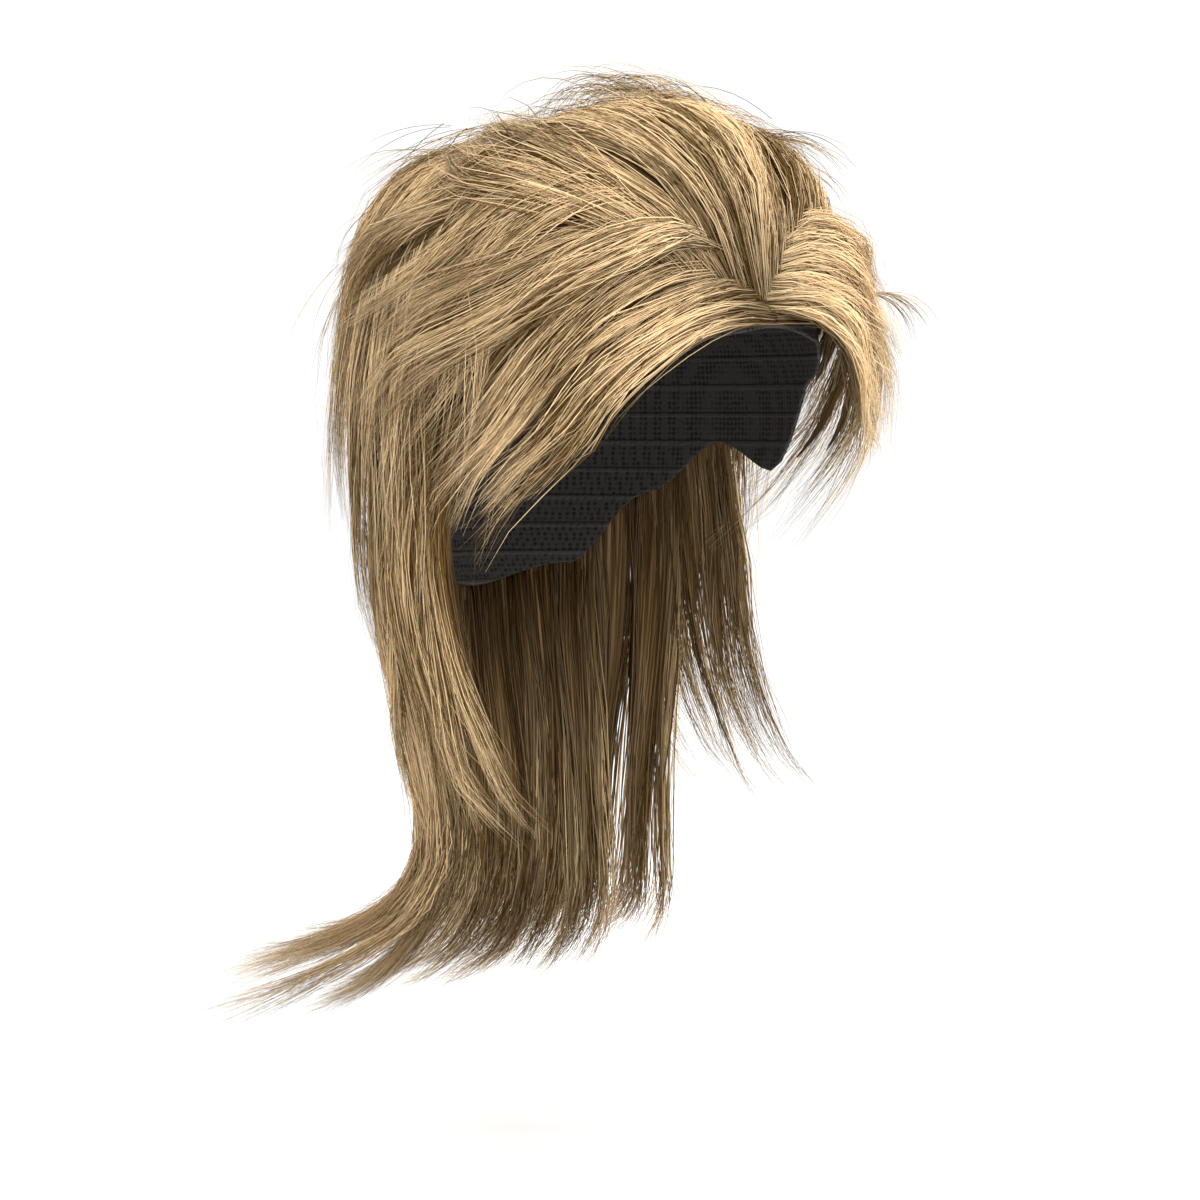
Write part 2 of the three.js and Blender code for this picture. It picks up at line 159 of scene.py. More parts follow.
# How strands gather and where they run. Sideways values are in halves of a lock.
CLUMPS = 4  # finer clumps in each lock
CLUMP_SHIFT = 0.25  # how far a clump's middle lies off its even place
CLUMP_SHORTNESS = 0.6  # how much of a row's raggedness a whole clump can have
CLUMP_LIFTS = 1.6  # the limit of a clump's lift, in standard deviations
WANDERS = (0.5, 0.9)  # how far clumps wander sideways in falling and in combed rows
LOCK_PHASE, LOCK_PHASE_STEP, PHASE_SCATTER = 0.22, 1.9, 0.07  # how waves shift from lock to lock
RAGGED_POWER = 1.5
FLYAWAY_EXTRA = 0.08  # how much longer flyaways are
PAST_THE_LOCK = 1.12  # how far strands reach, in shares of the lock past where locks divide
SHORTEST, LONGEST = 0.3, 1.0  # where strands may end along their row
GATHERED, GATHERED_AT_TIP, LOCK_NARROWING = 0.2, 0.55, 0.2
DRIFT, CROSSING_DRIFT, DRIFT_SLOWING = 0.25, 1.1, 0.4
EDGE_OVERLAP, TIP_NARROWING = 0.02, 0.09  # of falling rows, as shares across the row
COMBED_SPREAD = 1.14  # how far combed strands spread past their row's edges

# How high strands lie over their row's surface, as shares of the lock's height
SUNK_DEPTH = 0.6  # of the innermost strands
OUTER_LEVEL, OUTER_RISE, OUTER_POWER = 0.1, 0.95, 0.7
DOME_SHARE = 0.75  # how much of the lock's rounding the strands follow
SETTLED_LEVEL, SETTLING = 0.5, 0.7  # where strands settle at their tips, and how much

# How strands stand off it besides, in millimetres
CLUMP_LIFT_MM = (1.4, 2.2)  # in falling and in combed rows
CROSSING_LIFT_MM, WANDER_LIFT_MM = 1.2, 2.0
FUZZ_MM, FLYAWAY_FUZZ = 0.7, 3.0
STRAND_CLEARANCE = 0.8  # off the cap

# How the tips fan out and flick, and how the strands wave along their row
CLUMP_FAN, STRAND_FAN, FAN_LIMIT, EDGE_FAN = 0.6, 0.5, 1.2, 0.2
FAN_POWER, FLICK_POWER = 1.6, 2.5
WAVE_ONSET = 0.3  # the share of the row along which the waves grow
RISING_WAVES, SWAYING_WAVES, FINE_WAVES = 1.3, 1.2, 2.6  # whole waves in a row's length
RISING_SHARE, FINE_SHARE, SWAY_LEAD = 0.5, 0.3, 0.15

STRAND_SECTION = np.array([[-1.0, -0.3], [1.0, -0.3], [0.0, 0.7]])
THINNEST_TIP = 0.12
WISP_STATIONS = 9
WISP_SCATTER = 7  # degrees between the pitches of a wisp's strands

# The strands' share of the map, the bodies', and the margin beside each in its own column
STRAND_MAP = (0.0, 0.72)
BODY_MAP = (0.76, 1.0)
MAP_MARGIN = 0.1

# How a strand's tone, dark at 0 and light at 1, adds up, the row's share being painted light and shade, and
# how far its root and the painted shade by its depth darken it
OWN_TONE, CLUMP_TONE, PATCH_TONE, ROW_PAINTED_LIGHT, TONE_SHIFT = 1.1, 0.75, 1.2, 0.4, -1.31
TONE_RANGE = (-0.1, 1.05)
PATCH_SCALE, PATCH_STRETCH = 22.0, (1.0, 1.0, 0.25)
STREAKS_ACROSS, STREAKS_ALONG = 90.0, 9.0  # for each lock across, and in the row's length
# The masses under the strands: how strongly streaks show in their tone, how far it is shifted dark as painted
# shade, and how far painted shade darkens them besides
BODY_TONE, BODY_SHADE_SHIFT, BODY_PAINTED_SHADE = 2.2, -0.95, 0.8
# Painted shade on the strands that lie lowest in each clump: how far up the clump it reaches, and how dark it
# is
DEPTH_SHADE_SHARE, DEPTH_SHADE_TONE = 0.65, 0.85
# Where the root's darkening fades along a strand, how dark it is, and how much of it a row's painted light
# takes away
ROOT_SPAN, ROOT_TONE, ROOT_PAINTED_LIGHT = (0.02, 0.34), 1.1, 0.6
HAIR_ROUGHNESS, ROUGHNESS_SCATTER, HAIR_SPECULAR = 0.42, 0.2, 0.12
HAIR_RELIEF, RELIEF_DEPTH = 0.7, 0.0008

# The cap's net: its sewn rows and its threads stand out of the net's colour and of its surface
WEFT_PITCH = 0.012  # metres from one sewn row to the next
SEAM_EDGE, THREAD_EDGE = (0.75, 1.0), (0.2, 0.55)
SEAM_TONE, THREAD_TONE, NET_LIGHTENING = 0.7, 0.8, 4.0
NET_RELIEF, THREAD_RELIEF = 0.8, 0.35
NET_ROUGHNESS, SEAM_SMOOTHING, NET_SPECULAR = 0.9, 0.25, 0.25
NET_UNEVENNESS = 0.2

# The cap's mesh, and its rim: turns at which its drop under the crown is given
CAP_COLUMNS = 96
CAP_LEVELS = 28
HEM_STEPS = 8
RIM_TURNS = (0, 30, 55, 75, 95, 115, 140, 180)
BROW_CURVE, NAPE_CURVE = 0.25, (0.35, 0.85)

# Lights, each with its place and width in metres and its power as a share of the key light's
LIGHT_COLUMNS = ("name", "place", "size", "share")
LIGHTS = (
    ("key", (-0.9, -1.6, 1.1), 0.9, 1.0),
    ("fill", (1.5, -1.0, 0.4), 1.2, 0.7),
    ("back", (-0.6, 1.6, 1.2), 0.8, 0.6),
)
LIT_POINT = (0.0, 0.0, -0.12)
SKY_STRENGTH = 1.08
SEEN_POINT, SEEN_SHIFT = (0.0, 0.0, -0.17), -0.0025  # metres, the shift to the camera's right
SEEN_WIDTH = 0.5  # metres across the picture at the wig
FLOOR_REACH = 20.0


class HairSettings(bpy.types.PropertyGroup):
    """Sizes and colours of the hair"""

    # The root colour is also the colour that painted shade darkens strands and masses towards
    root_and_shade_colour: bpy.props.FloatVectorProperty(
        name="Root colour", description="Colour of the hair at its roots", subtype="COLOR", size=3,
        min=0.0, max=1.0, default=(0.045, 0.020, 0.003))
    dark_colour: bpy.props.FloatVectorProperty(
        name="Dark colour", description="Colour of the darkest strands", subtype="COLOR", size=3,
        min=0.0, max=1.0, default=(0.14, 0.074, 0.015))
    light_colour: bpy.props.FloatVectorProperty(
        name="Light colour", description="Colour of the lightest strands", subtype="COLOR", size=3,
        min=0.0, max=1.0, default=(1.0, 0.74, 0.42))
    strand_width: bpy.props.FloatProperty(
        name="Strand width", description="Width of a strand at its thickest", unit="LENGTH",
        default=0.00052, min=0.0002, max=0.003)
    density: bpy.props.FloatProperty(
        name="Density", description="Share of the strands in the tables that are laid", subtype="FACTOR",
        default=1.0, min=0.05, max=1.2)
    flyaways: bpy.props.FloatProperty(
        name="Flyaways", description="Share of the strands that stand off the rest", subtype="FACTOR",
        default=0.09, min=0.0, max=0.3)
    crossings: bpy.props.FloatProperty(
        name="Crossings", description="Share of the strands that cross their neighbours", subtype="FACTOR",
        default=0.32, min=0.0, max=0.5)
    seed: bpy.props.IntProperty(name="Seed", description="Seed of the strands' scatter", default=7, min=0)


class CapSettings(bpy.types.PropertyGroup):
    """Sizes and colours of the cap"""

    net_colour: bpy.props.FloatVectorProperty(
        name="Net colour", description="Colour of the cap's net", subtype="COLOR", size=3,
        min=0.0, max=1.0, default=(0.012, 0.011, 0.010))
    net_pitch: bpy.props.FloatProperty(
        name="Net pitch", description="Distance from hole to hole of the net", unit="LENGTH",
        default=0.0022, min=0.0005, max=0.01)


class StageSettings(bpy.types.PropertyGroup):
    """Floor, light and camera"""

    floor_height: bpy.props.FloatProperty(
        name="Floor height", description="Height of the floor under the crown", unit="LENGTH", default=-0.4)
    floor_colour: bpy.props.FloatVectorProperty(
        name="Floor colour", description="Colour of the floor", subtype="COLOR", size=3,
        min=0.0, max=1.0, default=(0.97, 0.97, 0.97))
    key_power: bpy.props.FloatProperty(
        name="Key light", description="Power of the main light", unit="POWER", default=22.0, min=0.0)
    camera_turn: bpy.props.FloatProperty(
        name="Camera turn", description="Turn of the camera from the front to the wearer's right",
        subtype="ANGLE", default=math.radians(45))
    camera_rise: bpy.props.FloatProperty(
        name="Camera rise", description="Height of the camera as an angle", subtype="ANGLE",
        default=math.radians(3))
    camera_distance: bpy.props.FloatProperty(
        name="Camera distance", description="Distance of the camera", unit="LENGTH", default=1.5)


def towards(turn, rise):
    """Unit directions from the head's centre at the brow's level, in arrays of degrees"""
    around, up = np.radians(turn), np.radians(rise)
    return np.stack(np.broadcast_arrays(
        np.cos(up) * np.sin(around), -np.cos(up) * np.cos(around), np.sin(up)), axis=-1)


def unit(vectors):
    """The vectors at length 1"""
    return vectors / np.maximum(np.linalg.norm(vectors, axis=-1, keepdims=True), 1e-9)


def ease(x):
    """Rises smoothly from 0 to 1 as x does"""
    x = np.clip(x, 0, 1)
    return x * x * (3 - 2 * x)


def over_head(direction, offset):
    """Points off the head in directions from its centre, in millimetres"""
    flat = np.maximum(np.hypot(direction[..., 0], direction[..., 1]), 1e-6)
    up = direction[..., 2]
    above = np.maximum(up, 0.0)
    level = np.where(up > 0, flat ** (2 / DOME_ROUNDNESS), 1 - NAPE_TAPER * up * up)
    height = np.where(up > 0, (CROWN_TO_BROW + offset) * above ** (2 / DOME_ROUNDNESS), CROWN_TO_BROW * up)
    return np.stack([
        (HEAD_HALF_WIDTH + offset) * level * direction[..., 0] / flat,
        (HEAD_HALF_LENGTH + offset) * level * direction[..., 1] / flat,
        height - CROWN_TO_BROW], axis=-1)


def uneven(lock):
    """A value from -1 to 1 that differs from lock to lock, as in the part's source"""
    return np.sin(2.4 * np.asarray(lock) + 1)


def quadratic(a, b, c, t):
    """The curve through a, b and c at shares t of its length"""
    return a * (1 - t) * (1 - 2 * t) + b * 4 * t * (1 - t) + c * t * (2 * t - 1)


def combed_surface(row, shares, t):
    """Points of a combed row at shares across it and along it, as an array of shares by steps"""
    aims, lifts = [], []
    for station in ("root", "mid", "tip"):
        first, last = row[station]
        ends = [towards(np.float64(end[0]), np.float64(end[1])) for end in (first, last)]
        aims.append(unit(ends[0] + (ends[1] - ends[0]) * shares[:, None])[:, None, :])
        lifts.append((first[2] + (last[2] - first[2]) * shares[:, None]) * FRONT_LOFT)
    aim = unit(quadratic(*aims, t[None, :, None]))
    rising = lifts[0] + (lifts[1] - lifts[0]) * np.sin(np.pi * t)
    settling = lifts[1] + (lifts[2] - lifts[1]) * ease(2 * t - 1)
    return over_head(aim, np.where(t < 0.5, rising, settling))


def smooth_curve(knots, t):
    """Points at shares of the length of a curve through the knots"""
    knots = np.asarray(knots)
    knots = np.vstack([2 * knots[0] - knots[1], knots, 2 * knots[-1] - knots[-2]])
    pieces = []
    for a, b, c, d in zip(knots[:-3], knots[1:-2], knots[2:-1], knots[3:]):
        before, here, after = [math.sqrt(np.linalg.norm(q - p)) for p, q in ((a, b), (b, c), (c, d))]
        leave = ((b - a) / before - (c - a) / (before + here) + (c - b) / here) * here
        arrive = ((c - b) / here - (d - b) / (here + after) + (d - c) / after) * here
        s = np.linspace(0, 1, CURVE_STEPS, endpoint=False)[:, None]
        pieces.append(b * (2 * s ** 3 - 3 * s ** 2 + 1) + leave * (s ** 3 - 2 * s ** 2 + s)
                      + c * (3 * s ** 2 - 2 * s ** 3) + arrive * (s ** 3 - s ** 2))
    points = np.vstack(pieces + [knots[-2:-1]])
    run = np.concatenate([[0], np.cumsum(np.linalg.norm(np.diff(points, axis=0), axis=1))])
    return np.stack([np.interp(t * run[-1], run, points[:, axis]) for axis in range(3)], axis=-1)


def falling_surface(row, shares, t):
    """Points of a falling row at shares across it and along it, as an array of shares by steps"""
    first, last = row["line"][0][0], row["line"][-1][0]
    lines = []
    for share in shares:
        root_turn, tip_turn, reached = [
            low + (high - low) * share for low, high in (row["root_turn"], row["tip_turn"], row["reach"])]
        knots = [over_head(towards(root_turn, row["root_rise"]), 0.0)]
        beside = ease(abs(root_turn - 180) / 90)
        for rise, at_side, at_back in CROWN_SWELL if row["root_rise"] > 0 else ():
            depth = (at_back + (at_side - at_back) * beside) * (BACK_LOFT - row["inset"][0] * LOCK_THICKNESS)
            knots.append(over_head(towards(root_turn, rise * row["root_rise"]), depth))
        for drop, reach in row["line"]:
            if drop * HAIR_LENGTH < LOCK_THICKNESS - knots[0][2]:
                continue
            done = (drop - first) / (last - first)
            inset = row["inset"][0] + (row["inset"][1] - row["inset"][0]) * done
            depth = BACK_LOFT - inset * LOCK_THICKNESS
            around = towards(root_turn + (tip_turn - root_turn) * done ** row["swing"], 0)
            knots.append(np.array([(HEAD_HALF_WIDTH + depth) * reach * around[0],
                                   (HEAD_HALF_LENGTH + depth) * reach * around[1], -drop * HAIR_LENGTH]))
        lines.append(smooth_curve(knots, t * reached))
    return np.array(lines)


class RowSurface:
    """The sheet that a row's hair lies on, in metres, sampled at shares across it and along it"""

    def __init__(self, row):
        self.across_steps = LOCK_STEPS * row["locks"]
        shares = np.linspace(0, 1, self.across_steps + 1)
        t = np.linspace(0, 1, GRID_STEPS + 1)
        points = (falling_surface if falls(row) else combed_surface)(row, shares, t) * MM
        along = unit(np.gradient(points, axis=1))
        across = unit(np.gradient(points, axis=0))
        out = unit(np.cross(across, along))
        middle = out[self.across_steps // 2, GRID_STEPS // 10]
        place = points[self.across_steps // 2, GRID_STEPS // 10]
        if middle @ (place + [0, 0, CROWN_TO_BROW * MM]) < 0:
            out = -out
        self.grid = np.concatenate([points, along, across, out], axis=-1)

    def at(self, share, t):
        """Points and their along, across and out directions"""
        x = share * self.across_steps
        y = t * GRID_STEPS
        i = np.clip(np.floor(x).astype(int), 0, self.across_steps - 1)
        j = np.clip(np.floor(y).astype(int), 0, GRID_STEPS - 1)
        u, v = (x - i)[..., None], (y - j)[..., None]
        grid = self.grid
        low = grid[i, j] * (1 - v) + grid[i, j + 1] * v
        high = grid[i + 1, j] * (1 - v) + grid[i + 1, j + 1] * v
        sampled = low * (1 - u) + high * u
        return sampled[..., 0:3], unit(sampled[..., 3:6]), unit(sampled[..., 6:9]), unit(sampled[..., 9:12])


def lock_share(row, lock, side):
    """Shares across the row for places from -1 to 1 across its locks"""
    ends = 2 * row["locks"]

    def line(k):
        shift = np.where((k > 0) & (k < ends), UNEVENNESS * uneven(k), 0)
        return (k + shift) / ends

    centre = line(2 * lock + 1)
    edge = line(2 * lock + 1 + np.where(side < 0, -1, 1))
    return centre + (edge - centre) * np.abs(side)


def fullness(t):
    """How full a lock is along its length"""
    return np.minimum(1, 0.6 + 1.2 * t) * (1 - t ** 5)


def lock_height(row, lock, side, t):
    """Height of a lock's rounded top over the sheet, in metres, as in the part's source"""
    dome = 1 - 0.8 * np.clip((np.abs(side) - CREST_SPREAD) / (1 - CREST_SPREAD), 0, 1) ** 1.3
    tall = 1 + UNEVENNESS * uneven(lock + 3)
    return row["thickness"] * LOCK_THICKNESS * MM / 2 * fullness(t) * tall * dome


def clear_of_head(points, clearance):
    """Moves points in metres that lie inside the cap or the head out to a clearance off them"""
    grown = CAP_WALL + clearance
    width, length, height = [
        (size + grown) * MM for size in (HEAD_HALF_WIDTH, HEAD_HALF_LENGTH, CROWN_TO_BROW)]
    up = points[..., 2] + CROWN_TO_BROW * MM
    level = np.hypot(points[..., 0] / width, points[..., 1] / length)
    filled = level ** DOME_ROUNDNESS + (np.maximum(up, 0) / height) ** DOME_ROUNDNESS
    dome = np.where(up > 0, np.maximum(filled, 1e-6) ** (-1 / DOME_ROUNDNESS), 1.0)
    dome = np.maximum(dome, 1.0)
    sunk = np.minimum(up, 0) / (CROWN_TO_BROW * MM)
    wall = np.where(sunk > -0.9, 1 - NAPE_TAPER * sunk * sunk, 0.0)
    side = np.where(up > 0, 1.0, np.maximum(wall / np.maximum(level, 1e-6), 1.0))
    flat = (dome * side)[..., None] * points[..., :2]
    return np.concatenate([flat, (up * dome - CROWN_TO_BROW * MM)[..., None]], axis=-1)


def tube_faces(count, stations, sides):
    """Quads along tubes of so many stations and sides, their end faces, and map coordinates of the quads"""
    tube = np.arange(count)[:, None, None] * stations * sides
    ring = np.arange(stations - 1)[None, :, None] * sides
    side = np.arange(sides)[None, None, :]
    beside = (side + 1) % sides
    quads = np.stack([tube + ring + side, tube + ring + beside, tube + ring + sides + beside,
                      tube + ring + sides + side], axis=-1).reshape(-1, 4)
    corner = np.array([[0, 0], [1, 0], [1, 1], [0, 1]])
    u = (np.arange(sides)[None, None, :, None] + corner[None, None, None, :, 0]) / sides
    v = (np.arange(stations - 1)[None, :, None, None] + corner[None, None, None, :, 1]) / (stations - 1)
    u, v = [np.broadcast_to(values, (count, stations - 1, sides, 4)) for values in (u, v)]
    column = (np.arange(count)[:, None, None, None] + MAP_MARGIN + (1 - 2 * MAP_MARGIN) * u) / count
    maps = np.stack([column, v], axis=-1).reshape(-1, 2)
    first = (np.arange(count) * stations * sides)[:, None] + np.arange(sides)[::-1]
    last = (np.arange(count) * stations * sides + (stations - 1) * sides)[:, None] + np.arange(sides)
    return quads, np.vstack([first, last]), maps


def mesh_object(name, parts, material):
    """One object from tubes, each given as vertices, quads, end faces, maps and a box in map space"""
    vertices, loops, sizes, maps, offset = [], [], [], [], 0
    for points, quads, ends, coordinates, (low, high) in parts:
        vertices.append(points)
        loops += [(quads + offset).ravel(), (ends + offset).ravel()]
        sizes += [np.full(len(quads), 4), np.full(len(ends), ends.shape[1])]
        corner = np.tile(coordinates[:1], (ends.size, 1))
        maps.append(np.vstack([coordinates, corner]) * [1, high - low] + [0, low])
        offset += len(points)
    vertices = np.vstack(vertices)
    loops, sizes = np.concatenate(loops), np.concatenate(sizes)
    mesh = bpy.data.meshes.new(name)
    mesh.vertices.add(len(vertices))
    mesh.vertices.foreach_set("co", vertices.astype(np.float32).ravel())
    mesh.loops.add(len(loops))
    mesh.loops.foreach_set("vertex_index", loops.astype(np.int32))
    mesh.polygons.add(len(sizes))
    mesh.polygons.foreach_set("loop_start", np.concatenate([[0], np.cumsum(sizes)[:-1]]).astype(np.int32))
    mesh.polygons.foreach_set("use_smooth", np.full(len(sizes), True))
    layer = mesh.uv_layers.new(name="OFBake")
    layer.data.foreach_set("uv", np.vstack(maps).astype(np.float32).ravel())
    mesh.update(calc_edges=True)
    mesh.validate()
    made = bpy.data.objects.new(name, mesh)
    bpy.context.scene.collection.objects.link(made)
    made.data.materials.append(material)
    return made


def lock_length(lock):
    """Length of a lock's free end, as a share of the longest"""
    return 1 - UNEVENNESS * (1 + uneven(lock)) / 2


def stray_lift(lock, done):
    """How far a lock's end strays off the sheet, as in the part's source"""
    return 2 * UNEVENNESS * LOCK_THICKNESS * MM * uneven(lock + 5) * done ** 2


def falls(row):
    """Whether a row falls from the cap, and isn't combed over it"""
    return "line" in row


def of_kind(row, pair):
    """The value for the row's kind out of one for falling and one for combed rows"""
    return pair[0] if falls(row) else pair[1]


def lock_bodies(row, surface):
    """The closed mass under the strands of each lock, which its material paints dark as shade"""
    lock = np.arange(row["locks"])[:, None, None]
    end = row["divides"] * of_kind(row, BODY_ENDS) + BODY_UNEVENNESS * uneven(lock + 2)
    step = np.linspace(0, 1, BODY_STATIONS)[None, :, None]
    side = BODY_ACROSS[None, None, :] * np.maximum(1.0 - 0.1 * step - 0.85 * step ** 4, 0.03)
    t = end * step * np.ones_like(side)
    points, _, _, out = surface.at(lock_share(row, lock, side), t)
    tall = lock_height(row, lock, side, t) * BODY_HEIGHT * BODY_UP * (1 - 0.8 * step ** 3)
    vertices = clear_of_head(points + out * tall[..., None], BODY_CLEARANCE)
    return vertices.reshape(-1, 3), *tube_faces(row["locks"], BODY_STATIONS, len(BODY_UP)), BODY_MAP


def strand_tubes(centres, across, width):
    """Flat three-sided tubes along the centres of strands"""
    count, stations = width.shape
    along = unit(np.gradient(centres, axis=1))
    across = unit(across - along * np.sum(across * along, axis=-1, keepdims=True))
    out = np.cross(across, along)
    section = STRAND_SECTION * width[:, :, None, None]
    vertices = (centres[:, :, None] + across[:, :, None] * section[..., :1]
                + out[:, :, None] * section[..., 1:])
    return vertices.reshape(-1, 3), *tube_faces(count, stations, len(STRAND_SECTION)), STRAND_MAP


def tapered(step, span):
    """Thickness along a strand that thins to its tip over a share of its length"""
    return np.clip((1 - step) / span, THINNEST_TIP, 1)


def wave_at(turns):
    """A wave from -1 to 1 at a number of whole turns"""
    return np.sin(2 * np.pi * turns)


def clump_values(row, clump, random):
    """What the strands of a clump share: middle, shortness, lift, wander and the phases of two waves"""
    clumps = row["locks"] * CLUMPS
    middle = (np.arange(clumps) % CLUMPS + 0.5) * 2 / CLUMPS - 1
    middle = middle + random.uniform(-CLUMP_SHIFT, CLUMP_SHIFT, clumps)
    shortness = row["ragged"] * random.uniform(0, CLUMP_SHORTNESS, clumps)
    lift = np.clip(random.normal(0, 1, clumps), -CLUMP_LIFTS, CLUMP_LIFTS)
    wander = random.normal(0, of_kind(row, WANDERS), clumps)
    by_lock = LOCK_PHASE * np.sin(LOCK_PHASE_STEP * (np.arange(clumps) // CLUMPS))
    phases = by_lock[:, None] + random.normal(0, PHASE_SCATTER, (clumps, 2))
    values = np.column_stack([middle, shortness, lift, wander, phases])[clump]
    return [values[:, number, None] for number in range(values.shape[1])]


def strands(row, surface, settings, random):
    """Tapered strands that follow a row's surface and gather into clumps towards their tips"""
    clumps = row["locks"] * CLUMPS
    in_clump = max(round(row["strands"] * settings.density / clumps), 2)
    count = clumps * in_clump
    clump = np.repeat(np.arange(clumps), in_clump)
    lock = (clump // CLUMPS)[:, None]
    side = ((clump % CLUMPS + random.random(count)) * 2 / CLUMPS - 1)[:, None]
    depth = np.tile(np.linspace(0, 1, in_clump), clumps)[:, None]
    middle, shortness, lift, wander, rising, swaying = clump_values(row, clump, random)
    loose = (random.random(count) < settings.flyaways)[:, None]
    crossing = (random.random(count) < settings.crossings)[:, None]

    # Where each strand starts and ends along the row
    ragged = 1 - row["ragged"] * random.random(count)[:, None] ** RAGGED_POWER + FLYAWAY_EXTRA * loose
    whole = row["divides"] + (1 - row["divides"]) * lock_length(lock) * PAST_THE_LOCK
    end = np.clip(whole * (1 - shortness) * ragged, SHORTEST, LONGEST)
    start = row["start"] + row["rooted"] * random.random(count)[:, None] ** RAGGED_POWER
    step = np.linspace(0, 1, row["stations"])[None, :]
    t = start + (end - start) * step
    done = np.clip((t - row["divides"]) / (1 - row["divides"]), 0, 1)

    # Where it runs across the row
    gather = GATHERED * step + np.where(loose, 0.0, GATHERED_AT_TIP) * step ** 4
    across_lock = np.clip((side + (middle - side) * gather) * (1 - LOCK_NARROWING * done ** 2), -1, 1)
    drift = (random.normal(0, DRIFT, count)[:, None]
             + crossing * random.normal(0, CROSSING_DRIFT, count)[:, None] + wander)
    drift = drift * step * (1 - DRIFT_SLOWING * step)
    share = lock_share(row, lock, across_lock) + drift / (2 * row["locks"])
    if falls(row):
        share = np.clip(share, -EDGE_OVERLAP, 1 + EDGE_OVERLAP)
        share = 0.5 + (share - 0.5) * (1 - TIP_NARROWING * done)
    else:
        share = 0.5 + (share - 0.5) * COMBED_SPREAD
    points, along, across, out = surface.at(share, t)

    # How high it lies over the row's surface
    outer = np.clip((depth - row["inner"]) / (1 - row["inner"]), 0, 1)
    level = np.where(depth < row["inner"], -SUNK_DEPTH * (1 - depth / row["inner"]),
                     OUTER_LEVEL + OUTER_RISE * outer ** OUTER_POWER)
    level = level + (SETTLED_LEVEL - level) * SETTLING * step ** 3
    height = lock_height(row, lock, DOME_SHARE * across_lock, np.clip(t, 0, 1)) * level

    # How its tip fans out and flicks
    from_edge = 1 - np.abs(2 * share - 1) ** 4
    fan = CLUMP_FAN * lift + STRAND_FAN * random.normal(0, 1, count)[:, None]
    fan = np.clip(fan, -FAN_LIMIT, FAN_LIMIT) * (EDGE_FAN + (1 - EDGE_FAN) * from_edge)
    tip = row["fan"] * fan * done ** FAN_POWER + row["flick"] * from_edge * done ** FLICK_POWER
    height += stray_lift(lock, done) + MM * tip
    clump_lift = of_kind(row, CLUMP_LIFT_MM) * lift * (1.2 - 0.5 * step)
    height += MM * (clump_lift + CROSSING_LIFT_MM * crossing + WANDER_LIFT_MM * np.abs(wander)) * step

    # How it waves, with its clump and by itself
    wave = row["wave"] * MM * np.clip(t / WAVE_ONSET, 0, 1) * (0.5 + 0.5 * step)
    height += wave * RISING_SHARE * wave_at(RISING_WAVES * t + rising)
    sideways = wave * (wave_at(SWAYING_WAVES * t + swaying + SWAY_LEAD)
                       + FINE_SHARE * wave_at(FINE_WAVES * t + rising))
    own = random.uniform(0, 1, (count, 4))
    fuzz = FUZZ_MM * MM * (1 + FLYAWAY_FUZZ * loose) * (0.3 + step)
    height += fuzz * wave_at((1 + own[:, 0:1]) * t + own[:, 1:2])
    sideways += 2.0 * fuzz * wave_at((1 + 1.5 * own[:, 2:3]) * t + own[:, 3:4])
    arch = random.uniform(0.15, 1, count)[:, None] * np.sin(np.pi * np.minimum(step * 0.9, 1) ** 1.5)
    height += loose * row["stray"] * MM * arch
    centres = clear_of_head(points + out * height[..., None] + across * sideways[..., None], STRAND_CLEARANCE)

    width = settings.strand_width / 2 * random.uniform(0.6, 1.3, count)[:, None] * (1 - 0.4 * loose)
    return strand_tubes(centres, across, width * tapered(step, 0.4))


def wisp_strands(wisp, settings, random):
    """Fine strands that stand off the hair and curl"""
    scatter = random.normal(0, 1, (wisp["strands"], 6, 1, 1))
    by_pitch, by_curl, by_length, by_place, by_spread, by_start = [scatter[:, number] for number in range(6)]
    heading = towards(wisp["heading"], 0) * MM
    beside = np.cross(heading, [0, 0, 1])
    place = (wisp["out"] * towards(wisp["turn"], 0) + [0, 0, wisp["height"]]) * MM
    step = np.linspace(0, 1, WISP_STATIONS)[None, :, None]
    curl = wisp["curl"] * (1 + 0.2 * by_curl) * step ** wisp["late"]
    angle = np.radians(wisp["pitch"] + WISP_SCATTER * by_pitch + curl)
    length = wisp["length"] * np.clip(1 + 0.2 * by_length, 0.5, 1.2)
    way = (np.cos(angle) * heading + [0, 0, MM] * np.sin(angle)) * length / (WISP_STATIONS - 1)
    spread = wisp["width"] * 0.5 * (by_place + 0.6 * step * by_spread)
    centres = place + np.cumsum(way, axis=1) - way + spread * beside + 0.15 * by_start * length * heading
    width = settings.strand_width / 2 * random.uniform(0.6, 1.0, wisp["strands"])[:, None]
    return strand_tubes(clear_of_head(centres, STRAND_CLEARANCE), beside / MM * np.ones_like(centres),
                        width * tapered(step[..., 0], 0.5))


def all_rows():
    """The rows of both tables, each as a dictionary"""
    for columns, rows in ((FALLING_COLUMNS, FALLING_ROWS), (COMBED_COLUMNS, COMBED_ROWS)):
        for values in rows:
            yield dict(zip(columns, values))


class Socket:
    """A node's output that makes Math nodes when it is used in an expression"""

    def __init__(self, shader, socket):
        self.shader = shader
        self.socket = socket

    def math(self, operation, first, second=None):
        return self.shader.node("ShaderNodeMath", {"operation": operation}, {0: first, 1: second})

    def __add__(self, other):
        return self.math("ADD", self, other)

    def __radd__(self, other):
        return self.math("ADD", other, self)

    def __sub__(self, other):
        return self.math("SUBTRACT", self, other)

    def __rsub__(self, other):
        return self.math("SUBTRACT", other, self)

    def __mul__(self, other):
        return self.math("MULTIPLY", self, other)

    def __rmul__(self, other):
        return self.math("MULTIPLY", other, self)

    def __gt__(self, other):
        return self.math("GREATER_THAN", self, other)

    def __lt__(self, other):
        return self.math("LESS_THAN", self, other)


